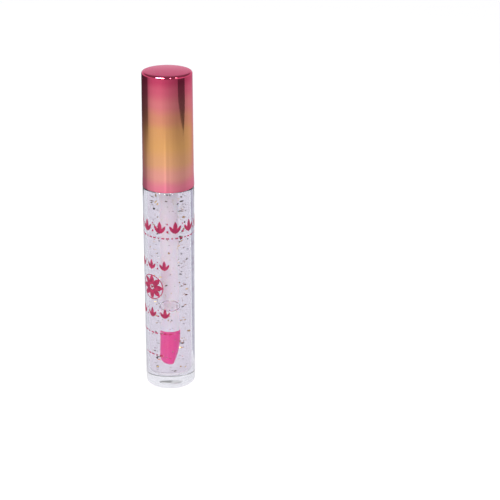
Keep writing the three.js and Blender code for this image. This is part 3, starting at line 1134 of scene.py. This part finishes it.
# %% [markdown]
# ## Applicator tip
# A doe-foot: a padded bulb with one slanted face. Cutting a round bulb with a plane leaves a hard edge, which
# flock never has, so each ring is squashed smoothly against the slanted plane instead.

# %% Tip piece
TIP_LENGTH = 13.0
TIP_NOSE = 3.0
BULB_TOP = 5.5
BULB_TAPER = 5.5
TAPER_STEPS = 12
COLLAR_STEP = 0.15
FLAT_START = 0.7
FLAT_LENGTH = 8.5
FLAT_SOFTNESS = 0.35


def squash_to_flat(piece, end):
    """Presses the bulb's points softly against a slanted plane, limit mm from the axis at each level."""
    for vert in piece.data.vertices:
        level = vert.co.z / MM - end
        if level >= TIP_LENGTH - 1:
            continue
        limit = FLAT_START + (TIP_RADIUS - FLAT_START) * level / FLAT_LENGTH
        x = vert.co.x / MM
        over = (x - limit) / FLAT_SOFTNESS
        if over >= -4:
            eased = limit - FLAT_SOFTNESS * math.log1p(math.exp(-over))
            vert.co.x = min(x, eased) * MM


def tip_piece():
    end = low("applicator_tip")
    collar = STEM_RADIUS + COLLAR_STEP
    peg_radius = STEM_RADIUS - STEM_WALL - FIT_GAP
    peg_top = TIP_LENGTH + PEG_LENGTH
    shelf = TIP_LENGTH + FIT_GAP - 0.05
    soft = 0.25
    outline = arc(0, TIP_NOSE, TIP_RADIUS, -90, 0, 14, TIP_NOSE)
    outline += straight(outline[-1], (TIP_RADIUS, BULB_TOP), 0.5)
    for i in range(TAPER_STEPS):
        share = (i + 1) / TAPER_STEPS
        radius = TIP_RADIUS + (collar - TIP_RADIUS) * smooth_step(share)
        outline.append((radius, BULB_TOP + BULB_TAPER * share))
    outline += arc(collar - soft, shelf - soft, soft, 0, 90, 4)
    peg = [(peg_radius, shelf), (peg_radius, peg_top - 0.2), (peg_radius - 0.2, peg_top), (0, peg_top)]
    flocked = [(radius, end + level) for radius, level in outline]
    bare = [(radius, end + level) for radius, level in peg]
    piece = turned_piece("doe_foot", [(flocked, 0), (bare, 1)], segments=64)
    squash_to_flat(piece, end)
    return fit_piece(piece, "cap_body", [flocked_tip(), stem_plastic()], "applicator_tip")


tip_piece()

# %% [markdown]
# ## Floor and soft light
# The floor is a plain pale sheet, and the light is soft: an even white room with one broad lamp from the left
# and a weaker one from the right. The clear pieces cast no shadow of their own, because a renderer without
# caustics would otherwise leave what is inside them in the dark.

# %% Floor and lamps
def staged_object(name, mesh, material):
    """Turns a bmesh into an object of the studio, which isn't a piece of the tube."""
    data = bpy.data.meshes.new(name)
    mesh.to_mesh(data)
    mesh.free()
    data.materials.append(material)
    thing = bpy.data.objects.new(name, data)
    bpy.context.scene.collection.objects.link(thing)
    return thing


def level_sheet(name, corners, height, material):
    """A level sheet. Each corner is an angle, 0 in front and + to the right, and a distance from the tube."""
    mesh = bmesh.new()
    verts = []
    for degrees, distance in corners:
        angle = math.radians(degrees - 90)
        verts.append(mesh.verts.new((distance * math.cos(angle), distance * math.sin(angle), height)))
    mesh.faces.new(verts)
    return staged_object(name, mesh, material)


def area_light(name, place, size, power, target=(0, 0, 0.06)):
    data = bpy.data.lights.new(name, "AREA")
    data.shape = "RECTANGLE"
    data.size, data.size_y = size
    data.energy = power
    light = bpy.data.objects.new(name, data)
    light.location = place
    light.rotation_euler = (Vector(target) - Vector(place)).to_track_quat("-Z", "Y").to_euler()
    bpy.context.scene.collection.objects.link(light)
    return light


def matt_paper(name, colour):
    material, _, _ = new_material(name, Roughness=0.9, Specular_IOR_Level=0.0, Base_Color=(*colour, 1))
    return material


floor_corners = [(angle, 4) for angle in (-135, -45, 45, 135)]
level_sheet("floor", floor_corners, 0, matt_paper("floor_paper", (0.98, 0.98, 0.98)))
area_light("key", (-0.35, -0.5, 0.7), (0.5, 0.5), 1.8)
area_light("fill", (0.6, -0.3, 0.5), (0.6, 0.6), 0.3)

world = bpy.data.worlds.new("studio")
world.use_nodes = True
world.node_tree.nodes["Background"].inputs["Color"].default_value = (0.97, 0.97, 1.0, 1)
world.node_tree.nodes["Background"].inputs["Strength"].default_value = 1.0
bpy.context.scene.world = world
for clear_piece in (bottle, gloss):
    clear_piece.visible_shadow = False
    clear_piece.visible_diffuse = False
print("floor, 2 lamps and an even room")

# %% [markdown]
# ## What the shiny pieces reflect
# A metal cap shows what stands round it, so a studio puts grey and black cards round it, out of sight. Here
# they are surfaces that only mirror rays can see. A disc round the foot of the tube is shaded by angle, which
# gives the cap its upright streaks: one grading for near the tube, seen low on the cap, and one for far. A
# tent that is bright near the floor and dark overhead shades the cap's top. A dark board stands where the
# camera is. Three lamps glint on the cap's front edge; each has an angle, 0 in front and + to the right, a
# size and a power. The cards glow by themselves, so the lamps don't disturb them.

# %% Reflected cards
NEAR_GREYS = ((0.1, 0.36), (0.18, 0.4), (0.244, 0.7), (0.298, 0.84), (0.344, 0.98), (0.43, 1.02),
              (0.455, 1.06), (0.47, 1.2), (0.495, 0.88), (0.515, 0.86), (0.53, 0.93), (0.546, 0.86),
              (0.585, 0.76), (0.626, 0.69), (0.67, 0.63), (0.715, 0.61), (0.767, 0.68), (0.83, 0.74))
FAR_GREYS = ((0.1, 0.1), (0.227, 0.14), (0.26, 0.58), (0.298, 0.76), (0.344, 0.86), (0.386, 0.9),
             (0.429, 0.9), (0.468, 0.8), (0.507, 0.7), (0.546, 0.6), (0.585, 0.52), (0.63, 0.44),
             (0.7, 0.5), (0.755, 0.6), (0.832, 0.74))
NEAR_TO_FAR = (0.26, 0.36)
DISC_FADE = (1.4, 2.4)
TENT_GREYS = ((0.2, 1.0), (0.367, 0.84), (0.456, 0.52), (0.527, 0.3))
TENT_RADIUS = 3.0
BLACK_CARD = ((79, 0.32), (51, 0.4), (51, 0.7), (88, 0.7), (88, 0.37))
GLINTS = ((-35, (0.5, 0.25), 28), (20, (0.06, 0.2), 1.2), (53, (0.06, 0.2), 1.0))
GLINT_DISTANCE = 0.61
GLINT_HEIGHT = 0.7


def glowing_material(name):
    return new_material(name, Base_Color=(0, 0, 0, 1), Specular_IOR_Level=0.0, Emission_Strength=1.0)


def even_glow(name, grey):
    material, _, shader = glowing_material(name)
    shader.inputs["Emission Color"].default_value = (grey, grey, grey, 1)
    return material


def grey_ramp(tree, factor, stops):
    return colour_ramp(tree, factor, [(position, (grey, grey, grey)) for position, grey in stops])


def mirror_disc_glow():
    material, tree, shader = glowing_material("mirror_disc_glow")
    place = object_place(tree)
    turn = add_node(tree, "ShaderNodeTexGradient", gradient_type="RADIAL")
    tree.links.new(place, turn.inputs["Vector"])
    distance = add_node(tree, "ShaderNodeVectorMath", operation="LENGTH")
    tree.links.new(place, distance.inputs[0])
    far_off = distance.outputs["Value"]
    blend = add_node(tree, "ShaderNodeMix", data_type="RGBA")
    share = remapped(tree, far_off, NEAR_TO_FAR, easing="SMOOTHSTEP")
    tree.links.new(share, blend.inputs["Factor"])
    tree.links.new(grey_ramp(tree, turn.outputs["Fac"], NEAR_GREYS), blend.inputs["A"])
    tree.links.new(grey_ramp(tree, turn.outputs["Fac"], FAR_GREYS), blend.inputs["B"])
    tree.links.new(blend.outputs["Result"], shader.inputs["Emission Color"])
    dim = remapped(tree, far_off, DISC_FADE, (1, 0.5), "SMOOTHSTEP")
    tree.links.new(dim, shader.inputs["Emission Strength"])
    return material


def tent_glow():
    material, tree, shader = glowing_material("tent_glow")
    parts = add_node(tree, "ShaderNodeSeparateXYZ")
    tree.links.new(object_place(tree, (1 / TENT_RADIUS,) * 3), parts.inputs["Vector"])
    tree.links.new(grey_ramp(tree, parts.outputs["Z"], TENT_GREYS), shader.inputs["Emission Color"])
    return material


def seen_only_by(thing, ray):
    """Hides a thing from every kind of ray but one: glossy for mirrors, transmission for clear walls."""
    for kind in ("camera", "diffuse", "glossy", "transmission", "shadow"):
        setattr(thing, f"visible_{kind}", kind == ray)


disc_corners = [(angle, TENT_RADIUS) for angle in range(-180, 180, 15)]
mirror_disc = level_sheet("mirror_disc", disc_corners, 0.001, mirror_disc_glow())
mirror_disc.rotation_euler.z = -math.pi / 2

black_card = level_sheet("black_card", BLACK_CARD, 0.002, even_glow("black_card_glow", 0.14))

board_corners = [(angle, 1.8) for angle in (-135, -45, 45, 135)]
board = level_sheet("camera_board", board_corners, 0, even_glow("camera_board_glow", 0.3))
board.rotation_euler.x = math.pi / 2
board.location = (0, -1.6, 1.0)

tent_mesh = bmesh.new()
bmesh.ops.create_icosphere(tent_mesh, subdivisions=5, radius=TENT_RADIUS)
tent = staged_object("tent", tent_mesh, tent_glow())

for card in (mirror_disc, black_card, board, tent):
    seen_only_by(card, "glossy")

for i, (degrees, size, power) in enumerate(GLINTS):
    angle = math.radians(degrees - 90)
    place = (GLINT_DISTANCE * math.cos(angle), GLINT_DISTANCE * math.sin(angle), GLINT_HEIGHT)
    glint = area_light(f"glint_{i}", place, size, power)
    glint.data.color = (1.0, 1.0, 0.75)
    glint.visible_diffuse = False
    glint.visible_transmission = False
print("mirror disc, black card, camera board, tent and glints")

# %% [markdown]
# ## What the glass bends into view
# The edge of a thick clear wall shows what stands at its sides, bent round by almost a right angle. Two grey
# sheets seen through glass only draw the darker lines at the bottle's edges that tell the eye it is thick.

# %% Sheets seen through glass
SHADE = (0.42, 0.4, 0.5)
shade_corners = {"left_shade": (-84, -135), "right_shade": (84, 105)}
for name, (first, last) in shade_corners.items():
    corners = ((first, 0.012), (first, 0.5), (last, 0.5), (last, 0.012))
    seen_only_by(level_sheet(name, corners, 0.001, matt_paper(name, SHADE)), "transmission")
print("sheets at the bottle's sides:", ", ".join(shade_corners))

# %% [markdown]
# ## Render settings that belong to the look
# The Standard view keeps a white floor white. Glass on glass needs many bounces, or it turns black.

# %% View and bounces
scene = bpy.context.scene
scene.view_settings.view_transform = "Standard"
scene.cycles.use_denoising = True
scene.cycles.max_bounces = 32
scene.cycles.transmission_bounces = 24
scene.cycles.transparent_max_bounces = 24
scene.cycles.caustics_reflective = False
scene.cycles.caustics_refractive = False
print("view:", scene.view_settings.view_transform, "- bounces:", scene.cycles.max_bounces)
